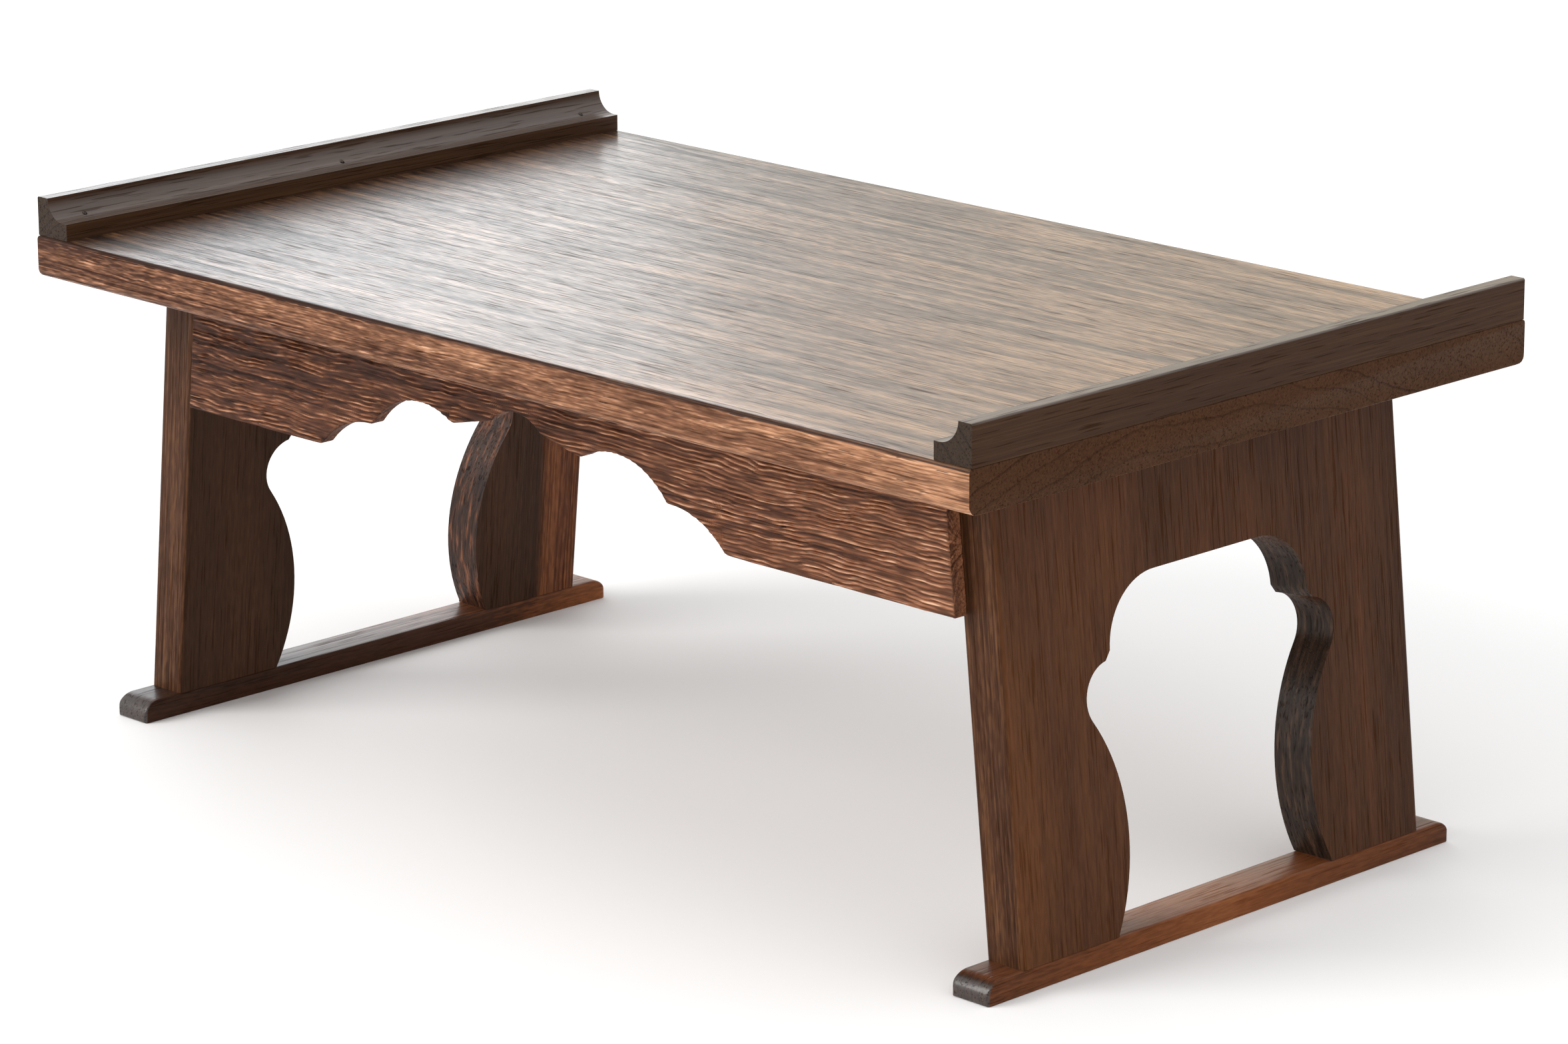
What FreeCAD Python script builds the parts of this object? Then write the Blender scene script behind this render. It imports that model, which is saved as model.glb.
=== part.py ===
"""Folding low table: a slab top with moulded end rails, scalloped aprons and two hinged leg frames.

Millimetres. The origin is on the floor under the middle of the table, +X runs along its length,
+Y to its back and +Z up. The table stands open, and each leg frame folds inwards about its hinge pins.
"""
import FreeCAD, Part
import Sketcher
import math
import os

V = FreeCAD.Vector

# Driving dimensions: millimetres, and degrees for the lean of the legs
SIZES = {
    # Table top
    "table_length": 600.0,
    "table_width": 354.0,
    "top_thickness": 20.0,
    "top_edge_round": 2.5,
    # End rails
    "rail_height": 18.5,
    "rail_base": 21.0,
    "rail_crest": 7.5,
    "rail_nosing": 8.0,
    "nosing_flat": 3.0,
    "cove_hollow": 3.0,
    "crest_round": 1.0,
    "rail_end_inset": 1.5,
    # Rail nails
    "nail_from_rail_end": 17.5,
    "nail_inset": 12.5,
    "nail_head_above_top": 8.9,
    "nail_diameter": 1.6,
    "nail_head_diameter": 2.6,
    "nail_head_height": 0.8,
    "nail_length": 21.0,
    # Leg panels
    "leg_setback": 12.5,
    "leg_side_setback": 48.5,
    "lean": 5.8,
    "leg_rise": 207.2,
    "leg_top_gap": 0.3,
    "leg_thickness": 21.0,
    "leg_edge_round": 2.0,
    # Cut-out of a leg panel: half widths, and heights up the board from the foot bar
    "cut_base_half": 69.0,
    "cut_waist_bulge": 13.4,
    "cut_lobe_half": 76.5,
    "cut_lobe_height": 93.9,
    "cut_lobe_bulge": 7.5,
    "cut_neck_half": 66.5,
    "cut_neck_height": 118.1,
    "cut_step_half": 63.5,
    "cut_step_height": 122.1,
    "cut_head_half": 33.5,
    "cut_head_height": 151.3,
    "cut_head_bulge": 8.6,
    # Foot bars and their dowels
    "foot_overhang": 21.5,
    "foot_width": 21.2,
    "foot_height": 10.5,
    "foot_end_round": 6.0,
    "foot_edge_round": 1.2,
    "dowel_diameter": 6.0,
    "dowel_in_leg": 18.0,
    "dowel_in_foot": 7.0,
    "dowel_inset": 16.0,
    "dowel_spacing": 28.0,
    # Aprons: gaps to the leg panels at the ends, and the scallop's rises from the lowest edge.
    # Standing in front of the legs, an apron and its scallop lie a little to one side
    "leg_side_gap": 0.4,
    "apron_thickness": 8.0,
    "apron_depth": 60.0,
    "apron_top_gap": 3.3,
    "apron_bottom_gap": 2.95,
    "apron_shift": 6.2,
    "scallop_offset": 14.0,
    "crown_half": 16.0,
    "crown_rise": 32.3,
    "crown_bulge": 6.5,
    "dip_half": 42.0,
    "dip_rise": 26.3,
    "arch_bulge": 10.6,
    "step_half": 96.7,
    "step_rise": 15.7,
    "step_bulge": 4.4,
    "mouth_half": 132.5,
    "cusp_round": 3.0,
    # Battens behind the aprons
    "batten_length": 300.0,
    "batten_width": 14.0,
    "batten_height": 12.0,
    "batten_screw_pitch": 115.0,
    "apron_screw_pitch": 130.0,
    "screw_in_top": 9.0,
    "screw_in_apron": 4.6,
    # Hinges of the leg frames
    "hinge_spacing": 150.0,
    "hinge_length": 50.0,
    "leaf_width": 24.0,
    "leaf_thickness": 1.4,
    "pin_offset": 2.7,
    "pin_diameter": 2.4,
    "pin_play": 0.05,
    "pin_head_diameter": 4.0,
    "pin_head_height": 1.0,
    "knuckle_diameter": 4.8,
    "knuckle_gap": 0.3,
    "leaf_notch": 0.4,
    # Wood screws
    "screw_diameter": 3.0,
    "screw_head_diameter": 5.8,
    "screw_tip": 2.5,
    "leaf_screw_length": 12.0,
    "leaf_screw_near": 9.0,
    "leaf_screw_far": 17.0,
    "leaf_screw_spacing": 34.0,
}

# Distance of a quarter round's arc from its chord, as a share of the radius
QUARTER_ROUND = 1 - math.sqrt(0.5)
# Shorter than any real edge, so it tells a flat extent from a long one
NO_LENGTH = 0.001
HALF_TURN = FreeCAD.Placement(V(0, 0, 0), FreeCAD.Rotation(V(0, 0, 1), 180))

os.makedirs("parts", exist_ok=True)
doc = FreeCAD.newDocument("folding_low_table")


class Size:
    """A value together with the sheet expression that it comes from."""

    def __init__(self, text, value):
        self.text = text
        self.value = value

    def __add__(self, other):
        other = as_size(other)
        return Size(f"({self.text} + {other.text})", self.value + other.value)

    def __sub__(self, other):
        other = as_size(other)
        return Size(f"({self.text} - {other.text})", self.value - other.value)

    def __mul__(self, other):
        other = as_size(other)
        return Size(f"({self.text} * {other.text})", self.value * other.value)

    def __truediv__(self, other):
        other = as_size(other)
        return Size(f"({self.text} / {other.text})", self.value / other.value)

    def __neg__(self):
        return Size(f"(0 - {self.text})", -self.value)


def as_size(value):
    return value if isinstance(value, Size) else Size(repr(float(value)), float(value))


def cosine(angle):
    return Size(f"cos({angle.text})", math.cos(math.radians(angle.value)))


def tangent(angle):
    return Size(f"tan({angle.text})", math.tan(math.radians(angle.value)))


def fill_sheet():
    """The sheet of driving dimensions, and one Size for each of its cells."""
    sheet = doc.addObject("Spreadsheet::Sheet", "dims")
    sizes = {}
    for row, (name, value) in enumerate(SIZES.items(), start=1):
        sheet.set(f"A{row}", name)
        sheet.set(f"B{row}", str(value))
        sheet.setAlias(f"B{row}", name)
        sizes[name] = Size(f"dims.{name}", float(value))
    doc.recompute()
    return sizes


d = fill_sheet()

# Places that several pieces share
UNDERSIDE = d["foot_height"] + d["leg_rise"] + d["leg_top_gap"]
TOP_FACE = UNDERSIDE + d["top_thickness"]
LEG_HALF = d["table_width"] / 2 - d["leg_side_setback"]
LEG_RUN = d["leg_thickness"] / cosine(d["lean"])
APRON_BACK = LEG_HALF + d["leg_side_gap"]
PIN_Z = UNDERSIDE - d["pin_offset"]
KNUCKLE_RADIUS = d["knuckle_diameter"] / 2
KNUCKLE_THIRD = d["hinge_length"] / 3
NOTCH = KNUCKLE_RADIUS + d["leaf_notch"]


def leg_outer_x(height):
    return d["table_length"] / 2 - d["leg_setback"] - tangent(d["lean"]) * height


def leg_inner_x(height):
    return leg_outer_x(height) - LEG_RUN


PIN_X = leg_inner_x(PIN_Z) - d["pin_offset"] / cosine(d["lean"])
LEG_BASE_X = leg_outer_x(d["foot_height"]) - LEG_RUN / 2


# Building blocks
def bind(item, path, value):
    item.setExpression(path, as_size(value).text)


def place(item, x=0, y=0, z=0, rotation=None):
    item.Placement = FreeCAD.Placement(V(0, 0, 0), rotation or FreeCAD.Rotation())
    for axis, value in zip("xyz", (x, y, z)):
        bind(item, f"Placement.Base.{axis}", value)
    return item


def box(name, low, high):
    """A block between two corners."""
    item = doc.addObject("Part::Box", name)
    for side, start, end in zip(("Length", "Width", "Height"), low, high):
        bind(item, side, as_size(end) - start)
    return place(item, *low)


def cylinder(name, diameter, length, x, y, z, rotation=None):
    item = doc.addObject("Part::Cylinder", name)
    bind(item, "Radius", diameter / 2)
    bind(item, "Height", length)
    return place(item, x, y, z, rotation)


def cone(name, start_diameter, end_diameter, length, z):
    item = doc.addObject("Part::Cone", name)
    bind(item, "Radius1", as_size(start_diameter) / 2)
    bind(item, "Radius2", as_size(end_diameter) / 2)
    bind(item, "Height", length)
    return place(item, 0, 0, z)


def fuse(name, items):
    item = doc.addObject("Part::MultiFuse", name)
    item.Shapes = items
    return item


def group(name, items):
    item = doc.addObject("Part::Compound", name)
    item.Links = items
    return item


def cut(name, base, tools):
    item = doc.addObject("Part::Cut", name)
    item.Base = base
    item.Tool = group(f"{name}_tools", tools)
    return item


def turned(name, item):
    """The same piece at the other end or side of the table."""
    copy = group(name, [item])
    copy.Placement = HALF_TURN
    return copy


ALONG_X = FreeCAD.Rotation(V(0, 1, 0), 90)
ALONG_Y = FreeCAD.Rotation(V(1, 0, 0), -90)
AGAINST_Y = FreeCAD.Rotation(V(1, 0, 0), 90)


def outline(body, plane, name, points, offset=None, tilt=None):
    """A closed sketch on a base plane, its points counted anticlockwise.

    Each point is (x, y) or (x, y, bulge): a bulge bows the edge to the next point outwards by that
    much, or inwards where the value is negative. An offset (x, y, z) and a tilt about the sketch's
    own x move the sketch off its plane.
    """
    sketch = body.newObject("Sketcher::SketchObject", name)
    support = [part for part in body.Origin.OriginFeatures if part.Role == plane]
    sketch.AttachmentSupport = [(support[0], "")]
    sketch.MapMode = "FlatFace"
    if tilt:
        sketch.AttachmentOffset = FreeCAD.Placement(V(0, 0, 0), FreeCAD.Rotation(V(1, 0, 0), tilt.value))
        bind(sketch, "AttachmentOffset.Rotation.Angle", tilt)
    for axis, value in zip("xyz", offset or ()):
        bind(sketch, f"AttachmentOffset.Base.{axis}", value)

    corners = [(as_size(point[0]), as_size(point[1])) for point in points]
    ends = []
    for index, point in enumerate(points):
        start = corners[index]
        stop = corners[(index + 1) % len(points)]
        ends.append(draw_edge(sketch, index, start, stop, point[2] if len(point) > 2 else None))
    for index, (edge, first, last) in enumerate(ends):
        following, its_first, _ = ends[(index + 1) % len(ends)]
        sketch.addConstraint(Sketcher.Constraint("Coincident", edge, last, following, its_first))
        for kind, value in zip(("DistanceX", "DistanceY"), corners[index]):
            fix(sketch, f"{kind}{index}", value, kind, -1, 1, edge, first)
    return sketch


def draw_edge(sketch, index, start, stop, bulge):
    """Adds a line or an arc, and returns it with the numbers of its start and its end."""
    first = V(start[0].value, start[1].value, 0)
    last = V(stop[0].value, stop[1].value, 0)
    if bulge is None:
        return sketch.addGeometry(Part.LineSegment(first, last), False), 1, 2
    run = last - first
    outwards = V(run.y, -run.x, 0).normalize()
    middle = (first + last) * 0.5 + outwards * bulge.value
    edge = sketch.addGeometry(Part.Arc(first, middle, last), False)
    rise = bulge if bulge.value > 0 else -bulge
    run_x = stop[0] - start[0]
    run_y = stop[1] - start[1]
    chord_squared = run_x * run_x + run_y * run_y
    fix(sketch, f"Radius{index}", (chord_squared / 4 + rise * rise) / (rise * 2), "Radius", edge)
    from_first = [sketch.getPoint(edge, end).distanceToPoint(first) for end in (1, 2)]
    return (edge, 1, 2) if from_first[0] < from_first[1] else (edge, 2, 1)


def fix(sketch, name, value, kind, *where):
    """A dimension of a sketch, driven by the sheet."""
    number = sketch.addConstraint(Sketcher.Constraint(kind, *where, value.value))
    sketch.renameConstraint(number, name)
    bind(sketch, f"Constraints.{name}", value)


def pad(body, sketch, length, symmetric=True):
    feature = body.newObject("PartDesign::Pad", f"{body.Name}_pad")
    feature.Profile = sketch
    feature.SideType = "Symmetric" if symmetric else "One side"
    bind(feature, "Length", length)
    return feature


def pocket_through(body, sketch, reach):
    feature = body.newObject("PartDesign::Pocket", f"{body.Name}_pocket")
    feature.Profile = sketch
    feature.SideType = "Symmetric"
    bind(feature, "Length", reach)
    return feature


def ease(body, base, radius, wanted):
    """Rounds the edges of a feature that the test picks out."""
    doc.recompute()
    names = [f"Edge{number}" for number, edge in enumerate(base.Shape.Edges, start=1) if wanted(edge)]
    feature = body.newObject("PartDesign::Fillet", f"{body.Name}_round")
    feature.Base = (base, names)
    bind(feature, "Radius", radius)
    return feature


def screw(name, length, head_height, x, y, z, rotation=None):
    """A countersunk wood screw that points along its own +Z, with the top of its head at the origin."""
    head = cone(f"{name}_head", d["screw_head_diameter"], d["screw_diameter"], head_height, 0)
    shank = cylinder(f"{name}_shank", d["screw_diameter"], as_size(length) - d["screw_tip"], 0, 0, 0)
    tip = cone(f"{name}_tip", d["screw_diameter"], 0, d["screw_tip"], as_size(length) - d["screw_tip"])
    return place(fuse(name, [head, shank, tip]), x, y, z, rotation)


# Table top
def top_slab():
    """The slab's section, with its long edges eased, runs the length of the table."""
    half = d["table_width"] / 2
    ease_by = d["top_edge_round"]
    bow = ease_by * QUARTER_ROUND
    body = doc.addObject("PartDesign::Body", "top_slab")
    section = outline(body, "YZ_Plane", "top_section", [
        (-half, UNDERSIDE + ease_by, bow),
        (-half + ease_by, UNDERSIDE),
        (half - ease_by, UNDERSIDE, bow),
        (half, UNDERSIDE + ease_by),
        (half, TOP_FACE - ease_by, bow),
        (half - ease_by, TOP_FACE),
        (-half + ease_by, TOP_FACE, bow),
        (-half, TOP_FACE - ease_by),
    ])
    pad(body, section, d["table_length"])
    return body


# End rails
def end_rail():
    """A nosing, a cove and a flat crest, flush with the end of the top."""
    outer = d["table_length"] / 2
    inner = outer - d["rail_base"]
    crest = TOP_FACE + d["rail_height"]
    ledge = TOP_FACE + d["rail_nosing"]
    ease_by = d["crest_round"]
    body = doc.addObject("PartDesign::Body", "end_rail")
    section = outline(body, "XZ_Plane", "rail_section", [
        (inner, TOP_FACE),
        (outer, TOP_FACE),
        (outer, crest - ease_by, ease_by * QUARTER_ROUND),
        (outer - ease_by, crest),
        (outer - d["rail_crest"], crest, -d["cove_hollow"]),
        (inner + d["nosing_flat"], ledge),
        (inner, ledge),
    ])
    pad(body, section, d["table_width"] - d["rail_end_inset"] * 2)
    return body


def rail_nails():
    """Brads down through the cove, and the wells that their heads are sunk into."""
    x = d["table_length"] / 2 - d["nail_inset"]
    head_base = TOP_FACE + d["nail_head_above_top"] - d["nail_head_height"]
    well_depth = d["rail_height"] - d["nail_head_above_top"] + d["nail_head_height"]
    nails = []
    wells = []
    pitch = d["table_width"] / 2 - d["rail_end_inset"] - d["nail_from_rail_end"]
    for number in (-1, 0, 1):
        y = pitch * number
        name = f"nail_{number + 2}"
        head = cylinder(f"{name}_head", d["nail_head_diameter"], d["nail_head_height"], x, y, head_base)
        shank_base = head_base + d["nail_head_height"] - d["nail_length"]
        shank = cylinder(f"{name}_shank", d["nail_diameter"], d["nail_length"], x, y, shank_base)
        nails.append(fuse(name, [head, shank]))
        wells.append(cylinder(f"{name}_well", d["nail_head_diameter"], well_depth, x, y, head_base))
    return nails, wells


# Leg frames
def leg_blank():
    """A board that leans with its faces parallel, cut level at both ends, with its cut-out."""
    foot = d["foot_height"]
    head = foot + d["leg_rise"]
    body = doc.addObject("PartDesign::Body", "leg_blank")
    section = outline(body, "XZ_Plane", "leg_section", [
        (leg_inner_x(foot), foot),
        (leg_outer_x(foot), foot),
        (leg_outer_x(head), head),
        (leg_inner_x(head), head),
    ])
    board = pad(body, section, LEG_HALF * 2)
    ease(body, board, d["leg_edge_round"], lambda edge: edge.BoundBox.ZLength > d["leg_rise"].value / 2)

    right = [
        (d["cut_base_half"], -foot),
        (d["cut_base_half"], 0, -d["cut_waist_bulge"]),
        (d["cut_lobe_half"], d["cut_lobe_height"], d["cut_lobe_bulge"]),
        (d["cut_neck_half"], d["cut_neck_height"]),
        (d["cut_step_half"], d["cut_step_height"], d["cut_head_bulge"]),
        (d["cut_head_half"], d["cut_head_height"]),
    ]
    left = [
        (-d["cut_head_half"], d["cut_head_height"], d["cut_head_bulge"]),
        (-d["cut_step_half"], d["cut_step_height"]),
        (-d["cut_neck_half"], d["cut_neck_height"], d["cut_lobe_bulge"]),
        (-d["cut_lobe_half"], d["cut_lobe_height"], -d["cut_waist_bulge"]),
        (-d["cut_base_half"], 0),
        (-d["cut_base_half"], -foot),
    ]
    window = outline(body, "YZ_Plane", "leg_window", right + left, (0, foot, LEG_BASE_X), -d["lean"])
    pocket_through(body, window, d["leg_thickness"] * 4)
    return body


def foot_blank():
    """A bar with rounded upper ends, eased along its upper edges."""
    half = LEG_HALF + d["foot_overhang"]
    top = d["foot_height"]
    end = d["foot_end_round"]
    inner = LEG_BASE_X - d["foot_width"] / 2
    body = doc.addObject("PartDesign::Body", "foot_blank")
    side = outline(body, "YZ_Plane", "foot_side", [
        (-half, 0),
        (half, 0),
        (half, top - end, end * QUARTER_ROUND),
        (half - end, top),
        (-half + end, top, end * QUARTER_ROUND),
        (-half, top - end),
    ], (0, 0, inner))
    bar = pad(body, side, d["foot_width"], symmetric=False)

    def upper_long_edge(edge):
        return edge.BoundBox.XLength < NO_LENGTH and edge.BoundBox.ZMax > NO_LENGTH

    ease(body, bar, d["foot_edge_round"], upper_long_edge)
    return body


def foot_dowels():
    """Dowels up through the joint of the foot bar and each post of the leg panel."""
    base = d["foot_height"] - d["dowel_in_foot"]
    length = d["dowel_in_leg"] + d["dowel_in_foot"]
    outer = LEG_HALF - d["dowel_inset"]
    dowels = []
    for name, y in (("outer", outer), ("inner", outer - d["dowel_spacing"])):
        for side, at in (("back", y), ("front", -y)):
            dowel = cylinder(f"dowel_{name}_{side}", d["dowel_diameter"], length, LEG_BASE_X, at, base)
            dowels.append(dowel)
    return dowels


# Hinges: three knuckles each, the middle one on the leg's leaf
def hinge_centres():
    return (("front", -d["hinge_spacing"] / 2), ("back", d["hinge_spacing"] / 2))


def knuckle_spans(centre):
    """The lengths of the knuckles along the pin: both outer ones, and the middle one."""
    half = d["hinge_length"] / 2
    gap = d["knuckle_gap"] / 2
    outer = [
        (centre - half, centre - KNUCKLE_THIRD / 2 - gap),
        (centre + KNUCKLE_THIRD / 2 + gap, centre + half),
    ]
    return outer, [(centre - KNUCKLE_THIRD / 2 + gap, centre + KNUCKLE_THIRD / 2 - gap)]


def knuckles(name, spans, x, z):
    return [cylinder(f"{name}_{number}", d["knuckle_diameter"], end - start, x, start, z, ALONG_Y)
            for number, (start, end) in enumerate(spans)]


def pin_bore(name, centre, x, z):
    bore = d["pin_diameter"] + d["pin_play"] * 2
    return cylinder(name, bore, d["hinge_length"], x, centre - d["hinge_length"] / 2, z, ALONG_Y)


def leaf_screw_places(centre):
    """Two screws near the pin and one far from it, between them."""
    side = d["leaf_screw_spacing"] / 2
    near = d["leaf_screw_near"]
    return (centre - side, near), (centre, d["leaf_screw_far"]), (centre + side, near)


def top_leaf(name, centre):
    """The leaf under the top, and its screws."""
    low_z = UNDERSIDE - d["leaf_thickness"]
    half = d["hinge_length"] / 2
    spans, _ = knuckle_spans(centre)
    far_x = PIN_X - d["leaf_width"]
    plate = box(f"{name}_plate", (far_x, centre - half, low_z), (PIN_X - NOTCH, centre + half, UNDERSIDE))
    straps = [box(f"{name}_strap_{number}", (PIN_X - NOTCH, start, low_z), (PIN_X, end, UNDERSIDE))
              for number, (start, end) in enumerate(spans)]
    metal = fuse(f"{name}_metal", [plate] + straps + knuckles(f"{name}_knuckle", spans, PIN_X, PIN_Z))
    screws = [screw(f"{name}_screw_{number}", d["leaf_screw_length"], d["leaf_thickness"],
                    PIN_X - reach, y, low_z)
              for number, (y, reach) in enumerate(leaf_screw_places(centre))]
    return cut(name, metal, [pin_bore(f"{name}_bore", centre, PIN_X, PIN_Z)] + screws), screws


def leg_leaf(name, centre):
    """The leaf on the leg and its screws, about the pin: x into the leg, z up along the board."""
    back = d["pin_offset"]
    face = back - d["leaf_thickness"]
    half = d["hinge_length"] / 2
    _, spans = knuckle_spans(centre)
    plate = box(f"{name}_plate", (face, centre - half, -d["leaf_width"]), (back, centre + half, -NOTCH))
    straps = [box(f"{name}_strap_{number}", (face, start, -NOTCH), (back, end, 0))
              for number, (start, end) in enumerate(spans)]
    metal = fuse(f"{name}_metal", [plate] + straps + knuckles(f"{name}_knuckle", spans, 0, 0))
    screws = [screw(f"{name}_screw_{number}", d["leaf_screw_length"], d["leaf_thickness"],
                    face, y, -reach, ALONG_X)
              for number, (y, reach) in enumerate(leaf_screw_places(centre))]
    return cut(name, metal, [pin_bore(f"{name}_bore", centre, 0, 0)] + screws), screws


def leaned(name, items):
    """Pieces drawn about the pin, set on the leaning leg."""
    item = place(group(name, items), PIN_X, 0, PIN_Z, FreeCAD.Rotation(V(0, -1, 0), d["lean"].value))
    bind(item, "Placement.Rotation.Angle", d["lean"])
    return item


def hinge_pin(name, centre):
    start = centre - d["hinge_length"] / 2
    shaft = cylinder(f"{name}_shaft", d["pin_diameter"], d["hinge_length"], PIN_X, start, PIN_Z, ALONG_Y)
    head_height = d["pin_head_height"]
    head = cylinder(f"{name}_head", d["pin_head_diameter"], head_height,
                    PIN_X, start - head_height, PIN_Z, ALONG_Y)
    return fuse(name, [shaft, head])


# Aprons
def apron_blank():
    """A board with a scalloped lower edge, in front of the legs so that they fold clear of it."""
    low = UNDERSIDE - d["apron_depth"]
    top_half = leg_inner_x(UNDERSIDE) - d["apron_top_gap"]
    bottom_half = leg_inner_x(low) - d["apron_bottom_gap"]
    middle = -d["scallop_offset"]
    left = [
        (middle - d["mouth_half"], low, -d["step_bulge"]),
        (middle - d["step_half"], low + d["step_rise"], -d["arch_bulge"]),
        (middle - d["dip_half"], low + d["dip_rise"]),
        (middle - d["crown_half"], low + d["crown_rise"], -d["crown_bulge"]),
    ]
    right = [
        (middle + d["crown_half"], low + d["crown_rise"]),
        (middle + d["dip_half"], low + d["dip_rise"], -d["arch_bulge"]),
        (middle + d["step_half"], low + d["step_rise"], -d["step_bulge"]),
        (middle + d["mouth_half"], low),
    ]
    shift = d["apron_shift"]
    ends = [
        (shift + bottom_half, low),
        (shift + top_half, UNDERSIDE),
        (shift - top_half, UNDERSIDE),
        (shift - bottom_half, low),
    ]
    body = doc.addObject("PartDesign::Body", "apron_blank")
    face = outline(body, "XZ_Plane", "apron_face", left + right + ends, (0, 0, APRON_BACK))
    board = pad(body, face, d["apron_thickness"], symmetric=False)
    cusps = [(point[0].value, point[1].value) for point in left[:3] + right[1:]]

    def cusp(edge):
        box = edge.BoundBox
        along = box.YLength > d["apron_thickness"].value / 2
        return along and any(math.dist((box.Center.x, box.Center.z), spot) < 0.1 for spot in cusps)

    ease(body, board, d["cusp_round"], cusp)
    return body


def apron_batten():
    half = d["batten_length"] / 2
    low = (-half, -APRON_BACK, UNDERSIDE - d["batten_height"])
    high = (half, -APRON_BACK + d["batten_width"], UNDERSIDE)
    return box("apron_batten_blank", low, high)


def batten_screws():
    """Screws up into the top, and screws forward into the apron."""
    head = (d["screw_head_diameter"] - d["screw_diameter"]) / 2
    low = UNDERSIDE - d["batten_height"]
    inner = -APRON_BACK + d["batten_width"]
    upward = [screw(f"batten_screw_{number + 2}", d["batten_height"] + d["screw_in_top"], head,
                    d["batten_screw_pitch"] * number, inner - d["batten_width"] / 2, low)
              for number in (-1, 0, 1)]
    middle = UNDERSIDE - d["batten_height"] / 2
    forward = [screw(f"apron_screw_{number + 2}", d["batten_width"] + d["screw_in_apron"], head,
                     d["apron_screw_pitch"] / 2 * number, inner, middle, AGAINST_Y)
               for number in (-1, 1)]
    return upward, forward


# Assembly: each piece is made once, and turned round for the other end or side
def pair(first, second, piece):
    """The nodes of a piece and of its turned copy."""
    return {first: piece, second: turned(second, piece)}


nodes = {}

nails, nail_wells = rail_nails()
nail_set = group("right_rail_nails", nails)
rail = cut("right_end_rail", end_rail(), [nail_set] + nail_wells)
nodes.update(pair("right_end_rail", "left_end_rail", rail))
nodes.update(pair("right_rail_nails", "left_rail_nails", nail_set))

hinges = [(name, centre, top_leaf(f"top_leaf_{name}", centre), leg_leaf(f"leg_leaf_{name}", centre))
          for name, centre in hinge_centres()]
top_leaves = group("right_hinge_top_leaves", [on_top[0] for _, _, on_top, _ in hinges])
top_screws = group("right_hinge_top_screws", [each for _, _, on_top, _ in hinges for each in on_top[1]])
leg_leaves = leaned("right_hinge_leg_leaves", [on_leg[0] for _, _, _, on_leg in hinges])
leg_screws = leaned("right_hinge_leg_screws", [each for _, _, _, on_leg in hinges for each in on_leg[1]])
pin_set = [hinge_pin(f"hinge_pin_{name}", centre) for name, centre in hinge_centres()]
pins = group("right_hinge_pins", pin_set)
for piece in (top_leaves, top_screws, leg_leaves, leg_screws, pins):
    nodes.update(pair(piece.Name, piece.Name.replace("right", "left"), piece))

dowels = group("right_foot_dowels", foot_dowels())
leg_panel = cut("right_leg_panel", leg_blank(), [leg_screws, dowels])
nodes.update(pair("right_leg_panel", "left_leg_panel", leg_panel))
foot_bar = cut("right_foot_bar", foot_blank(), [dowels])
nodes.update(pair("right_foot_bar", "left_foot_bar", foot_bar))
nodes.update(pair("right_foot_dowels", "left_foot_dowels", dowels))

into_top, into_apron = batten_screws()
apron_screws = group("front_apron_screws", into_top + into_apron)
apron = cut("front_apron", apron_blank(), into_apron)
nodes.update(pair("front_apron", "back_apron", apron))
batten = cut("front_apron_batten", apron_batten(), [apron_screws])
nodes.update(pair("front_apron_batten", "back_apron_batten", batten))
nodes.update(pair("front_apron_screws", "back_apron_screws", apron_screws))

fasteners = [nodes[name] for name in (
    "right_rail_nails", "left_rail_nails", "right_hinge_top_screws", "left_hinge_top_screws",
    "front_apron_screws", "back_apron_screws")]
nodes["top_panel"] = cut("top_panel", top_slab(), fasteners)

doc.recompute()

# Every object has to be sound before a piece is written
for item in doc.Objects:
    if "Invalid" in item.State or "Error" in item.State:
        raise RuntimeError(f"{item.Name} failed: {item.State}")
for name, piece in nodes.items():
    piece.Label = name
    if piece.Shape.isNull() or not piece.Shape.isValid() or not piece.Shape.Solids:
        raise RuntimeError(f"{name} has no sound solid")
for name, piece in sorted(nodes.items()):
    piece.Shape.exportStep(f"parts/{name}.step")
    print(f"{name}: {len(piece.Shape.Solids)} solids, {piece.Shape.Volume:.1f} mm3")
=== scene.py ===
"""Looks of the folding low table: burnt and brushed wood under a satin lacquer."""
import math

import bmesh
import bpy
from mathutils import Matrix, Vector, kdtree, noise


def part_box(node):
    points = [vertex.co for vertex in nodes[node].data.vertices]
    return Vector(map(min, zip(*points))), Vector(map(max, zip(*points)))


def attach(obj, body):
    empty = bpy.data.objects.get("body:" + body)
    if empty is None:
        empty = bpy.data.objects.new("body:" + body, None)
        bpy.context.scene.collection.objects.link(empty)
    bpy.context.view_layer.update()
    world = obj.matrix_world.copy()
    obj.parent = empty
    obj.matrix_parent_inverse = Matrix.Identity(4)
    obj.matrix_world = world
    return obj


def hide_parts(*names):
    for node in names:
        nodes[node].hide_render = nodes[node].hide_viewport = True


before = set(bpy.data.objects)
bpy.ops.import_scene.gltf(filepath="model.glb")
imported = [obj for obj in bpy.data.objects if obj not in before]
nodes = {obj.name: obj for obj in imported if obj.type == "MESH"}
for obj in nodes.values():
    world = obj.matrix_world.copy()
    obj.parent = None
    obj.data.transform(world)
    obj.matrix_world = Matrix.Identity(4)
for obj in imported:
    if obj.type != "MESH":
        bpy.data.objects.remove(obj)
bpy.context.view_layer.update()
scene = bpy.context.scene
MM = 0.001
LEAN = 5.8  # degrees that a leg leans out


# Materials

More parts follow.
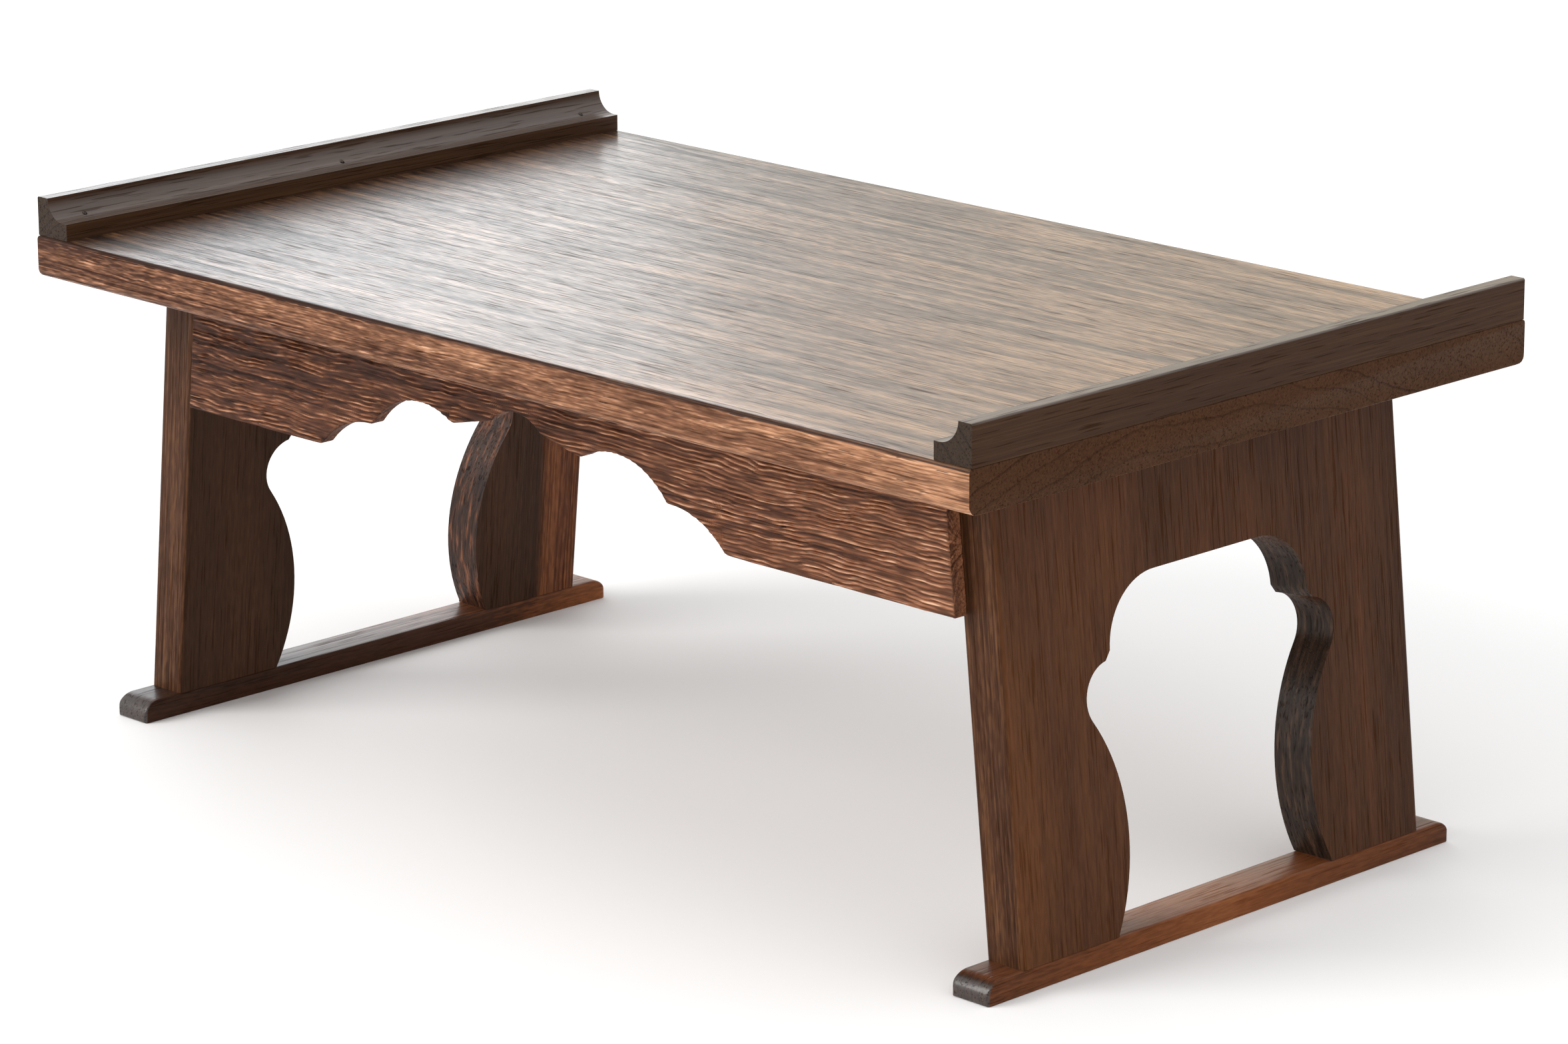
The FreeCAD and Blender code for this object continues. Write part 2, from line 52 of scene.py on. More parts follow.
class Paint:
    """A short way to add and join the nodes of one material."""

    def __init__(self, name):
        self.material = bpy.data.materials.new(name)
        self.material.use_nodes = True
        self.tree = self.material.node_tree
        self.tree.nodes.clear()

    def add(self, kind, inputs, **settings):
        node = self.tree.nodes.new(kind)
        for key, value in settings.items():
            setattr(node, key, value)
        for key, value in inputs.items():
            if isinstance(value, bpy.types.NodeSocket):
                self.tree.links.new(value, node.inputs[key])
            else:
                node.inputs[key].default_value = value
        return node

    def math(self, operation, a, b=0.0, c=0.0):
        return self.add("ShaderNodeMath", {0: a, 1: b, 2: c}, operation=operation).outputs[0]

    def vector(self, operation, a, b):
        return self.add("ShaderNodeVectorMath", {0: a, 1: b}, operation=operation)

    def range(self, value, start, end, low=0.0, high=1.0):
        inputs = {"Value": value, "From Min": start, "From Max": end, "To Min": low, "To Max": high}
        return self.add("ShaderNodeMapRange", inputs, interpolation_type="SMOOTHSTEP").outputs[0]

    def noise(self, place, stretch, detail=2.0, roughness=0.5):
        """Noise with so many cells to the metre along each way of the board."""
        place = self.vector("MULTIPLY", place, stretch).outputs[0]
        inputs = {"Vector": place, "Scale": 1.0, "Detail": detail, "Roughness": roughness}
        return self.add("ShaderNodeTexNoise", inputs, noise_dimensions="3D")

    def ramp(self, value, colours):
        node = self.add("ShaderNodeValToRGB", {"Fac": value})
        stops = node.color_ramp.elements
        for i, colour in enumerate(colours):
            stop = stops[i] if i < 2 else stops.new(1.0)
            stop.position = i / (len(colours) - 1)
            stop.color = (*colour, 1.0)
        return node.outputs["Color"]

    def mix(self, share, a, b):
        node = self.add("ShaderNodeMix", {}, data_type="RGBA", blend_type="MIX")
        for key, value in (("Factor_Float", share), ("A_Color", a), ("B_Color", b)):
            socket = next(s for s in node.inputs if s.identifier == key)
            if isinstance(value, bpy.types.NodeSocket):
                self.tree.links.new(value, socket)
            else:
                socket.default_value = value
        return next(s for s in node.outputs if s.identifier == "Result_Color")

    def finish(self, **shader):
        bsdf = self.add("ShaderNodeBsdfPrincipled", shader)
        self.add("ShaderNodeOutputMaterial", {"Surface": bsdf.outputs[0]})
        return self.material


def tone(red, green, blue):
    """A colour read off, 0 to 255 a channel, as the renderer's linear light."""
    return tuple((c / 255 / 12.92) if c < 10 else ((c / 255 + 0.055) / 1.055) ** 2.4
                 for c in (red, green, blue))


def rings(p, turned, pith, ring, wander, shift):
    """The dark late wood of swaying rings round the pith, and the ripple that breaks them."""
    sway = p.noise(turned, (2.2, 8.0, 8.0), 2.0).outputs["Color"]
    sway = p.vector("SUBTRACT", sway, (0.5, 0.5, 0.5)).outputs[0]
    sway = p.vector("MULTIPLY", sway, (0.0, wander * 4 * MM, wander * 4 * MM)).outputs[0]
    place = p.vector("ADD", turned, sway).outputs[0]
    middle = (0.0, pith[0] * MM + shift, pith[1] * MM + shift)
    across = p.vector("SUBTRACT", place, middle).outputs[0]
    across = p.vector("MULTIPLY", across, (0.0, 1.0, 1.0)).outputs[0]
    radius = p.vector("LENGTH", across, (0.0, 0.0, 0.0)).outputs["Value"]
    ripple = p.noise(turned, (14.0, 150.0, 150.0), 2.0).outputs["Fac"]
    count = p.math("MULTIPLY", radius, 1.0 / (ring * MM))
    count = p.math("MULTIPLY_ADD", ripple, 2.1 / ring, count)
    part = p.math("FRACT", count)
    late = p.math("MULTIPLY", p.range(part, 1.0 - 1.6 / ring, 0.95), p.range(part, 1.0, 0.95))
    each = p.add("ShaderNodeTexWhiteNoise", {"W": p.math("FLOOR", count)}, noise_dimensions="1D")
    return p.math("MULTIPLY", late, p.range(each.outputs["Value"], 0.0, 1.0, 0.2, 1.0)), ripple


def wood(name, turn, tones, pith, ring=4.0, wander=6.0, lines=0.5, fibre=0.6, blotch=0.25, patch=0.0,
         fleck=0.0, pores=0.5, hair=0.0, bump=0.5, rough=(0.36, 0.52), shine=0.1, coat=0.02, polish=0.2,
         drift=0.0, slant=0.0, fade=0.0, shift=0.0, lacquer=None, tilt=(0.55, 0.95), upper=None,
         ends=None, end_gloss=0.0, end_dull=0.0, crest=None, rim=None, jamb=None, sap=None):
    """Wood cut from a log: rings round a pith line, fibres and pores along it, a satin coat.

    turn brings the board's grain on to X. pith is the log's middle line across the board, ring the
    ring's width and wander how far the rings sway, all in millimetres. lines, fibre, blotch, patch,
    fleck, pores and hair are the strengths of ring lines, threads, wide clouds, small patches,
    flecks, pores and long dark hair lines. A board gets lighter by drift along a metre of its grain
    and by slant towards the front, and darker by fade towards both ends; fade is painted light, a
    lit middle with painted shade towards the ends. shift moves it to another place in the log.
    lacquer is the shine and coat of faces that look up, tilt the slopes where it starts and is full,
    upper the tones there; with upper, a painted dark reflection runs along the rounded arrises.
    ends are the tones of end grain, end_gloss its share of lacquer and end_dull the share of shine
    that it loses. crest are the tones of raised ridges, lighter partly as worn wood and partly as a
    painted highlight, rim those of a leg's rough edges, jamb those inside its cut-out and sap those
    of a strip along its back edge.
    """
    p = Paint(name)
    spot = p.add("ShaderNodeTexCoord", {})
    turned = p.add("ShaderNodeMapping", {"Vector": spot.outputs["Object"], "Rotation": turn,
                                         "Location": (shift, shift, shift)}).outputs[0]
    late, ripple = rings(p, turned, pith, ring, wander, shift)
    thread = p.noise(turned, (9.0, 700.0, 700.0), 3.0, 0.6).outputs["Fac"]
    cloud = p.noise(turned, (3.5, 22.0, 22.0), 3.0, 0.55).outputs["Fac"]
    dash = p.range(p.noise(turned, (38.0, 1100.0, 1100.0), 1.0).outputs["Fac"], 0.56, 0.68)
    spark = p.range(p.noise(turned, (140.0, 900.0, 900.0), 1.0).outputs["Fac"], 0.3, 0.7, -1.0, 1.0)
    vein = p.noise(turned, (1.2, 75.0, 75.0), 1.0).outputs["Fac"]
    vein = p.math("ABSOLUTE", p.math("SUBTRACT", vein, 0.5))
    vein = p.math("MULTIPLY", p.range(vein, 0.024, 0.006), p.range(cloud, 0.4, 0.55))
    length = p.add("ShaderNodeSeparateXYZ", {0: turned}).outputs["X"]
    vein = p.math("MULTIPLY", vein, p.range(length, shift + 0.15, shift - 0.1))
    facing = p.add("ShaderNodeSeparateXYZ", {0: spot.outputs["Normal"]}).outputs
    up = p.range(facing["Z"], tilt[0], tilt[1])
    if ends:
        faced = p.add("ShaderNodeMapping", {"Vector": spot.outputs["Normal"], "Rotation": turn},
                      vector_type="VECTOR").outputs[0]
        butt = p.math("ABSOLUTE", p.add("ShaderNodeSeparateXYZ", {0: faced}).outputs["X"])
        butt = p.range(butt, 0.2, 0.6)
        vein = p.math("MULTIPLY", vein, p.math("SUBTRACT", 1.0, butt))

    value = p.math("MULTIPLY_ADD", length, drift, 0.5 - drift * shift - fibre - blotch)
    depth = p.add("ShaderNodeSeparateXYZ", {0: spot.outputs["Object"]}).outputs["Y"]
    value = p.math("MULTIPLY_ADD", depth, -slant, value)
    # Painted light: fade darkens a board towards both ends, leaving a painted pool of light on its
    # middle.
    reach = p.math("ABSOLUTE", p.math("SUBTRACT", length, shift))
    even = 0.06  # metres from the board's middle where fade changes nothing
    value = p.math("MULTIPLY_ADD", reach, -fade, p.math("ADD", value, fade * even))
    value = p.math("MULTIPLY_ADD", thread, fibre * 2, value)
    value = p.math("MULTIPLY_ADD", cloud, blotch * 2, value)
    value = p.math("MULTIPLY_ADD", late, -lines, value)
    spark = p.math("MULTIPLY", spark, p.range(length, shift + 0.3, shift - 0.25, 0.55, 1.0))
    value = p.math("MULTIPLY_ADD", spark, fleck, value)
    calm = p.math("MULTIPLY_ADD", vein, -hair, value)
    uneven = p.math("MULTIPLY_ADD", ripple, patch * 2, -patch)
    value = p.math("ADD", calm, uneven)
    colour = p.ramp(value, tones)
    if crest:
        relief = p.add("ShaderNodeAttribute", {}, attribute_name="relief").outputs["Fac"]
        # Lighter crests: partly worn wood, partly a painted highlight, with painted glints from the
        # flecks.
        wear_and_glint = p.math("MULTIPLY_ADD", thread, 0.5, p.math("MULTIPLY_ADD", spark, 0.15, relief))
        colour = p.mix(p.range(wear_and_glint, 0.75, 1.3), colour, p.ramp(value, crest))
        colour = p.mix(p.range(relief, 0.42, 0.05, 0.0, 0.7), colour, (*tones[0], 1.0))
    if upper:
        colour = p.mix(up, colour, p.ramp(value, upper))
        # Painted shade: a dark line along the rounded arrises stands in for their dark reflection; the
        # lacquer there is cut back too.
        arris_shade = p.math("MULTIPLY", p.range(facing["Z"], 0.15, 0.4), p.range(facing["Z"], 0.99, 0.9))
        arris_shade = p.math("MULTIPLY", arris_shade, p.range(thread, 0.3, 0.55, 0.4, 1.0))
        colour = p.mix(arris_shade, colour, (*[c * 0.6 for c in tones[0]], 1.0))
        up = p.math("MULTIPLY", up, p.math("SUBTRACT", 1.0, arris_shade))
    if rim:
        harsh = p.math("MULTIPLY_ADD", thread, 1.2, p.math("MULTIPLY_ADD", spark, 0.12, -0.08))
        brink = p.range(p.math("ABSOLUTE", facing["Y"]), 0.45, 0.85)
        inside = p.range(p.math("ABSOLUTE", depth), 0.115, 0.1)
        sawn = p.range(p.noise(turned, (70.0, 70.0, 480.0), 3.0, 0.6).outputs["Fac"], 0.25, 0.85)
        if sap:
            border = p.math("MULTIPLY_ADD", cloud, 0.014, depth)
            dark = p.math("MULTIPLY", p.range(border, 0.097, 0.106), p.range(border, 0.113, 0.107))
            colour = p.mix(p.range(border, 0.105, 0.115), colour, p.ramp(harsh, sap))
            colour = p.mix(p.math("MULTIPLY", dark, 0.35), colour, (*tones[0], 1.0))
        colour = p.mix(brink, colour, p.mix(inside, p.ramp(harsh, rim), p.ramp(sawn, jamb)))
        up = p.math("MAXIMUM", up, p.math("MULTIPLY", p.math("MULTIPLY", brink, inside), 0.25))
    if ends:
        colour = p.mix(butt, colour, p.ramp(p.math("MULTIPLY_ADD", late, -0.4, calm), ends))
        up = p.math("MAXIMUM", up, p.math("MULTIPLY", butt, end_gloss))
    colour = p.mix(p.math("MULTIPLY", dash, pores), colour, (*[c * 0.45 for c in tones[0]], 1.0))

    height = p.math("MULTIPLY_ADD", late, -0.5, thread)
    height = p.math("MULTIPLY_ADD", dash, -0.6, height)
    relief = p.math("MULTIPLY_ADD", up, -0.6 * bump, bump)
    normal = p.add("ShaderNodeBump", {"Height": height, "Strength": relief, "Distance": 0.4 * MM})
    gloss = p.range(thread, 0.3, 0.7, rough[1], rough[0])
    gloss = p.math("MULTIPLY_ADD", dash, 0.15, gloss)
    sunk = p.math("MAXIMUM", p.math("MULTIPLY", late, lines), p.math("MULTIPLY", vein, hair))
    clear = p.range(p.math("MAXIMUM", sunk, p.math("MULTIPLY", dash, 0.7)), 0.0, 1.0, 1.0, 0.3)
    clear = p.math("MULTIPLY", clear, p.math("MULTIPLY_ADD", spark, fleck * 0.8, 1.0))
    clear = p.math("MULTIPLY", clear, p.math("MULTIPLY_ADD", p.math("MULTIPLY", uneven, up), 0.8, 1.0))
    if end_dull:
        clear = p.math("MULTIPLY", clear, p.math("MULTIPLY_ADD", butt, -end_dull, 1.0))
    if lacquer:
        shine = p.math("MULTIPLY", clear, p.math("MULTIPLY_ADD", up, lacquer[0] - shine, shine))
        coat = p.math("MULTIPLY", clear, p.math("MULTIPLY_ADD", up, lacquer[1] - coat, coat))
    return p.finish(**{"Base Color": colour, "Roughness": gloss, "Normal": normal.outputs[0],
                       "Specular IOR Level": shine, "Coat Weight": coat, "Coat Roughness": polish,
                       "Coat Normal": normal.outputs[0]})


def steel(name, colours, roughness, bump):
    """Blackened or bronzed steel: cloudy oxide, fine scratches."""
    p = Paint(name)
    place = p.add("ShaderNodeTexCoord", {}).outputs["Object"]
    cloud = p.noise(place, (260.0, 260.0, 260.0), 4.0, 0.6).outputs["Fac"]
    scratch = p.noise(place, (2600.0, 300.0, 2600.0), 2.0).outputs["Fac"]
    normal = p.add("ShaderNodeBump", {"Height": p.math("ADD", cloud, scratch), "Strength": bump,
                                      "Distance": 0.05 * MM})
    gloss = p.range(cloud, 0.3, 0.7, roughness[0], roughness[1])
    return p.finish(**{"Base Color": p.ramp(p.range(cloud, 0.3, 0.7), colours), "Metallic": 0.9,
                       "Roughness": gloss, "Normal": normal.outputs[0]})


ALONG_X = (0.0, 0.0, 0.0)
ALONG_Y = (0.0, 0.0, math.radians(-90))
UP_RIGHT_LEG = (0.0, math.radians(90 + LEAN), 0.0)
UP_LEFT_LEG = (0.0, math.radians(90 - LEAN), 0.0)

UMBER = [tone(42, 20, 11), tone(116, 72, 49), tone(166, 112, 80)]
EDGE = [tone(58, 31, 18), tone(128, 86, 61), tone(184, 134, 100)]
UPPER = [tone(28, 15, 9), tone(85, 58, 38), tone(158, 114, 70)]
DARK = [tone(34, 17, 7), tone(70, 39, 17), tone(102, 60, 29)]
DEEP = [tone(28, 15, 8), tone(59, 36, 20), tone(90, 55, 32)]
RIM = [tone(28, 14, 7), tone(64, 37, 20), tone(112, 74, 46)]
RAIL_END = [tone(34, 25, 19), tone(50, 38, 29), tone(62, 48, 38)]
BUTT = [tone(52, 32, 19), tone(65, 42, 27), tone(78, 52, 34)]
JAMB = [tone(28, 19, 14), tone(54, 40, 31), tone(92, 68, 51)]
WARM_JAMB = [tone(26, 14, 9), tone(66, 39, 26), tone(148, 92, 60)]
RAIL = [tone(24, 14, 7), tone(59, 36, 18), tone(102, 72, 46)]
FOOT = [tone(46, 22, 10), tone(117, 66, 33), tone(160, 100, 58)]
SAP = [tone(36, 19, 10), tone(92, 51, 28), tone(150, 92, 54)]
DEEP_FOOT = [tone(34, 19, 11), tone(68, 40, 24), tone(166, 98, 54)]
CREST = [tone(118, 76, 53), tone(178, 128, 97), tone(220, 176, 144)]
PLAIN = [tone(120, 84, 56), tone(182, 138, 96), tone(214, 176, 132)]

GLOSS = (0.5, 0.7)
SATIN = (0.35, 0.3)
CALM = dict(lines=0.06, fibre=0.17, blotch=0.4, fleck=0.08, pores=0.2)
top_wood = wood("top_wood", ALONG_X, EDGE, (-40, -90), ring=9, wander=9, lines=0.25, fibre=0.5,
                patch=0.6, fleck=0.2, hair=0.6, upper=UPPER, ends=BUTT, crest=CREST, lacquer=GLOSS,
                rough=(0.36, 0.44), bump=0.35, drift=0.6, end_dull=0.7)
rail_wood = wood("rail_wood", ALONG_Y, RAIL, (60, -50), ring=4, wander=3, lines=0.08, fibre=0.26,
                 blotch=0.16, pores=0.3, ends=RAIL_END, lacquer=GLOSS, tilt=(0.05, 0.6), shift=1.3)
apron_wood = wood("apron_wood", ALONG_X, UMBER, (-30, 40), ring=4, wander=5, crest=CREST, drift=1.05,
                  patch=0.25, fleck=0.15, shift=2.1)
right_leg_wood = wood("right_leg_wood", UP_RIGHT_LEG, DARK, (30, 120), ring=6, rim=RIM, jamb=JAMB,
                      lacquer=SATIN, patch=0.2, slant=1.0, shift=3.7, **CALM)
left_leg_wood = wood("left_leg_wood", UP_LEFT_LEG, DEEP, (-45, 110), ring=6, rim=RIM, jamb=WARM_JAMB,
                     sap=SAP, lacquer=SATIN, slant=-0.6, shift=5.2, **CALM)
# The right foot's fade paints light on its middle and shade towards its ends.
right_foot_wood = wood("right_foot_wood", ALONG_Y, FOOT, (35, -30), ends=DEEP, lacquer=SATIN,
                       end_gloss=1.6, fade=3.0, shift=6.4, **CALM)
left_foot_wood = wood("left_foot_wood", ALONG_Y, DEEP_FOOT, (35, -30), ends=DEEP, lacquer=SATIN,
                      end_gloss=1.6, drift=1.9, shift=8.3, **CALM)
batten_wood = wood("batten_wood", ALONG_X, DARK, (20, 30), shift=7.9, **CALM)
dowel_wood = wood("dowel_wood", UP_RIGHT_LEG, PLAIN, (20, 30), shift=9.1, **CALM)
hinge_steel = steel("hinge_steel", [tone(70, 54, 39), tone(96, 75, 53)], (0.42, 0.52), 0.25)
screw_steel = steel("screw_steel", [tone(92, 74, 53), tone(128, 104, 74)], (0.36, 0.46), 0.25)
nail_steel = steel("nail_steel", [tone(16, 14, 13), tone(44, 39, 36)], (0.5, 0.7), 0.4)


# Pieces

def add_piece(name, bm, material, body, node, smooth=40):
    """One finished mesh that stands for a CAD node."""
    bmesh.ops.recalc_face_normals(bm, faces=bm.faces)
    mesh = bpy.data.meshes.new(name)
    bm.to_mesh(mesh)
    bm.free()
    mesh.polygons.foreach_set("use_smooth", [True] * len(mesh.polygons))
    mesh.set_sharp_from_angle(angle=math.radians(smooth))
    mesh.materials.append(material)
    piece = bpy.data.objects.new(name, mesh)
    scene.collection.objects.link(piece)
    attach(piece, body)
    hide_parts(node)
    return piece


def eased_board(name, node, material, body, ease):
    """The board of a CAD node with its sharp arrises rubbed round."""
    bm = bmesh.new()
    bm.from_mesh(nodes[node].data)
    bmesh.ops.remove_doubles(bm, verts=bm.verts, dist=1e-6)
    bmesh.ops.dissolve_limit(bm, angle_limit=math.radians(0.5), verts=bm.verts, edges=bm.edges)
    arrises = [e for e in bm.edges if len(e.link_faces) == 2 and e.calc_length() > 1.5 * MM
               and e.calc_face_angle() > math.radians(40)]
    bmesh.ops.bevel(bm, geom=arrises, offset=ease, segments=3, profile=0.5, affect="EDGES",
                    clamp_overlap=True)
    bmesh.ops.remove_doubles(bm, verts=bm.verts, dist=2e-6)
    bmesh.ops.dissolve_degenerate(bm, edges=bm.edges, dist=1e-6)
    piece = add_piece(name, bm, material, body, node)
    weigh = piece.modifiers.new("even_shading", "WEIGHTED_NORMAL")
    weigh.keep_sharp = True
    return piece


def sweep(loops, reliefs):
    """A closed mesh through rings of points, each vertex with its share of relief."""
    bm = bmesh.new()
    share = bm.verts.layers.float.new("relief")
    rows = []
    for loop, relief in zip(loops, reliefs):
        row = []
        for point, value in zip(loop, relief):
            vert = bm.verts.new(point)
            vert[share] = value
            row.append(vert)
        rows.append(row)
    size = len(rows[0])
    for a, b in zip(rows, rows[1:]):
        for i in range(size):
            bm.faces.new((a[i], a[(i + 1) % size], b[(i + 1) % size], b[i]))
    bm.faces.new(rows[0])
    bm.faces.new(rows[-1])
    return bm


def ridges(along, across, pitch, seed):
    """Brushed grain, 0 in the grooves to 1 on the ridges; along and across in metres."""
    sway = 2.2 * noise.noise((along * 9, across * 14, seed))
    sway += 1.1 * noise.noise((along * 32, across * 42, seed + 5))
    sway += 0.45 * noise.noise((along * 100, across * 110, seed + 7))
    count = across / pitch + sway
    wave = 0.5 + 0.5 * math.cos(2 * math.pi * count)
    own = round(count)
    broken = 0.6 + 1.1 * noise.noise((along * 70 + own * 1.37, own * 2.71, seed + 9))
    fine = 0.2 * noise.noise((along * 140, across * 1500, seed + 13))
    return min(1.0, max(0.0, wave * min(1.0, max(0.12, broken)) + fine))


def outline(node, side):
    """The outer face of an apron as a ring of x and z points, from its top left corner downwards."""
    bm = bmesh.new()
    bm.from_mesh(nodes[node].data)
    bmesh.ops.remove_doubles(bm, verts=bm.verts, dist=1e-6)
    face_y = side * max(side * v.co.y for v in bm.verts)
    rest = [f for f in bm.faces if any(abs(v.co.y - face_y) > 1e-5 for v in f.verts)]
    bmesh.ops.delete(bm, geom=rest, context="FACES")
    start = min(bm.verts, key=lambda v: v.co.x - 3 * v.co.z)
    ring = [start]
    nearer = [e for e in start.link_edges if e.is_boundary]
    edge = min(nearer, key=lambda e: e.other_vert(start).co.z)
    vert = edge.other_vert(start)
    while vert is not start:
        ring.append(vert)
        edge = next(e for e in vert.link_edges if e.is_boundary and e is not edge)
        vert = edge.other_vert(vert)
    points = [(v.co.x, v.co.z) for v in ring]
    bm.free()
    return points, face_y


def divided(points, step):
    """The same polyline with points no further apart than step."""
    line = [points[0]]
    for a, b in zip(points, points[1:]):
        parts = max(1, math.ceil(math.dist(a, b) / step))
        for i in range(1, parts + 1):
            line.append((a[0] + (b[0] - a[0]) * i / parts, a[1] + (b[1] - a[1]) * i / parts))
    return line


def apron(name, node, side, seed):
    """An apron with raised brushed grain on its outer face and softened, rough arrises."""
    ring, face_y = outline(node, side)
    low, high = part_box(node)
    thick = high.y - low.y
    top = max(z for x, z in ring)
    lower = [q for q in ring if q[1] < top - 1e-5]
    left, right = ring[0], max(ring, key=lambda q: q[0] + 3 * q[1])
    bottom = divided(lower, 1.5 * MM)
    lead = [0.15 * MM, 0.4 * MM, 0.8 * MM]
    first, last = bottom[0], bottom[-1]
    head = [first] + [(first[0] + d, first[1]) for d in lead] + bottom[1:]
    bottom = head[:-1] + [(last[0] - d, last[1]) for d in reversed(lead)] + [last]
    edge = divided(ring + ring[:1], 0.5 * MM)
    tree = kdtree.KDTree(len(edge))
    for i, (x, z) in enumerate(edge):
        tree.insert((x, z, 0), i)
    tree.balance()
    # Shares of the way up the face, closest at its lower edge
    rise = [0.0, 0.006, 0.016, 0.03] + [0.03 + 0.97 * i / 130 for i in range(1, 131)]
    soft = 1.1 * MM
    grain = 2.0 * MM
    raised = 1.0 * MM
    back_ease = 0.5 * MM
    loops = []
    reliefs = []
    width = last[0] - first[0]
    for x, z in bottom:
        share = (x - first[0]) / width
        head_x = left[0] + share * (right[0] - left[0])
        loop = []
        relief = []
        for t in rise:
            px, pz = x + (head_x - x) * t, z + (top - z) * t
            ridge = ridges(px, pz, grain, seed)
            near = min(soft, tree.find((px, pz, 0))[2])
            drop = soft - math.sqrt(soft ** 2 - (soft - near) ** 2)
            depth = drop + raised * (1 - ridge) * min(1.0, 0.25 + near / soft)
            loop.append((px, face_y - side * depth, pz))
            relief.append(ridge * (0.5 + 0.5 * near / soft))
        for t in (1.0, 0.75, 0.5, 0.25, 0.08, 0.0):
            px, pz = x + (head_x - x) * t, z + (top - z) * t
            loop.append((px, face_y - side * (thick - (back_ease if t == 0 else 0)), pz))
            relief.append(0.4)
        for i in range(1, 6):
            rough = ridges(x, i * 0.9 * MM + z * 0.6, 2.1 * MM, seed + 30)
            depth = thick - back_ease - (thick - back_ease - soft) * i / 6
            loop.append((x, face_y - side * depth, z))
            relief.append(0.2 + 0.25 * rough)
        loops.append(loop)
        reliefs.append(relief)
    return add_piece(name, sweep(loops, reliefs), apron_wood, "table_top", node, 60)


def slab(name, node, seed):
    """The top with rounded long edges, brushed grain on those edges and softened ends."""
    low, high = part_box(node)
    soft = 2.5 * MM
    belly = 5.0 * MM
    grain = 1.5 * MM
    raised = 0.3 * MM
    flat = high.z - low.z - soft - belly
    edge = []
    for i in range(8):
        turn = math.radians(90 * i / 8)
        edge.append((belly * (1 - math.sin(turn)), belly * (1 - math.cos(turn)), math.sin(turn)))
    edge += [(0.0, belly + flat * i / 22, 1.0) for i in range(23)]
    for i in range(1, 6):
        turn = math.radians(90 * i / 6)
        edge.append((soft * (1 - math.cos(turn)), belly + flat + soft * math.sin(turn),
                     0.5 * math.cos(turn)))
    across = [(high.y - soft) * (i / 22 - 1) for i in range(45)]
    below = [(high.y - belly) * (1 - i / 6) for i in range(1, 12)]
    ends = [(0.0, 0.7), (0.2, 0.3), (0.7, 0.0)]
    length = high.x - low.x
    stations = [(low.x + d * MM, inset * MM) for d, inset in ends]
    stations += [(low.x + length * i / 240, 0.0) for i in range(1, 240)]
    stations += [(high.x - d * MM, inset * MM) for d, inset in reversed(ends)]
    loops = []
    reliefs = []
    for x, inset in stations:
        loop = []
        relief = []
        for side in (-1, 1):
            run = []
            for back, up, share in edge:
                ridge = ridges(x, up, grain, seed + side)
                depth = back + raised * (1 - ridge) * share
                depth = max(depth, inset)
                z = low.z + min(max(up, inset), high.z - low.z - inset)
                run.append(((x, side * (high.y - depth), z), 0.5 + 0.8 * (ridge - 0.5) * share))
            middle = [((x, y, high.z - inset), 0.5) for y in across]
            if side < 0:
                run += middle
            else:
                run = run[::-1] + [((x, y, low.z + inset), 0.3) for y in below]
            loop += [point for point, value in run]
            relief += [value for point, value in run]
        loops.append(loop)
        reliefs.append(relief)
    return add_piece(name, sweep(loops, reliefs), top_wood, "table_top", node)


def fall(distance, length, depth):
    """How far a rounded end has fallen at a distance from its tip."""
    return depth * (1 - math.sqrt(1 - (1 - min(1.0, distance / length)) ** 2))


def foot(name, node, material, body):
    """A foot bar with bull-nosed ends and soft long edges."""
    low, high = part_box(node)
    nose, nose_drop = 9.0 * MM, 7.0 * MM
    corner = 2.0 * MM
    sole_edge = 1.2 * MM
    tip = [nose * (1 - math.cos(math.radians(90 * i / 16))) for i in range(17)]
    span = high.y - low.y
    away = tip + [nose + (span - 2 * nose) * i / 24 for i in range(1, 24)]
    away += [span - d for d in reversed(tip)]
    loops = []
    for way in away:
        d = min(way, span - way)
        pinch = fall(d, corner, corner)
        left, right = low.x + pinch, high.x - pinch
        sole = low.z + fall(d, sole_edge, sole_edge)
        top = high.z - fall(d, nose, nose_drop)
        loop = []
        for x, z, start in ((left, sole, 180), (right, sole, 270), (right, top, 0), (left, top, 90)):
            soft = 0.5 * MM if z == sole else 1.2 * MM
            centre_x = x + soft if x == left else x - soft
            centre_z = z + soft if z == sole else z - soft
            for step in range(6):
                turn = math.radians(start + 90 * step / 5)
                loop.append((centre_x + soft * math.cos(turn), low.y + way,
                             centre_z + soft * math.sin(turn)))
        loops.append(loop)
    reliefs = [[0.5] * len(loop) for loop in loops]
    return add_piece(name, sweep(loops, reliefs), material, body, node, 50)


slab("top_board", "top_panel", 41.7)
apron("front_apron_board", "front_apron", -1, 3.3)
apron("back_apron_board", "back_apron", 1, 17.9)
for side, leg_wood, foot_wood in (("left", left_leg_wood, left_foot_wood),
                                  ("right", right_leg_wood, right_foot_wood)):
    eased_board(side + "_leg_board", side + "_leg_panel", leg_wood, side + "_leg", 0.9 * MM)
    eased_board(side + "_rail_board", side + "_end_rail", rail_wood, "table_top", 0.6 * MM)
    foot(side + "_foot_board", side + "_foot_bar", foot_wood, side + "_leg")


# Carried-over nodes

FINISH = {
    "apron_batten": batten_wood, "foot_dowels": dowel_wood, "screws": screw_steel,
    "leaves": hinge_steel, "pins": hinge_steel, "nails": nail_steel,
}
for name, node in nodes.items():
    for ending, material in FINISH.items():
        if name.endswith(ending):
            node.material_slots[0].material = material


# Floor and light

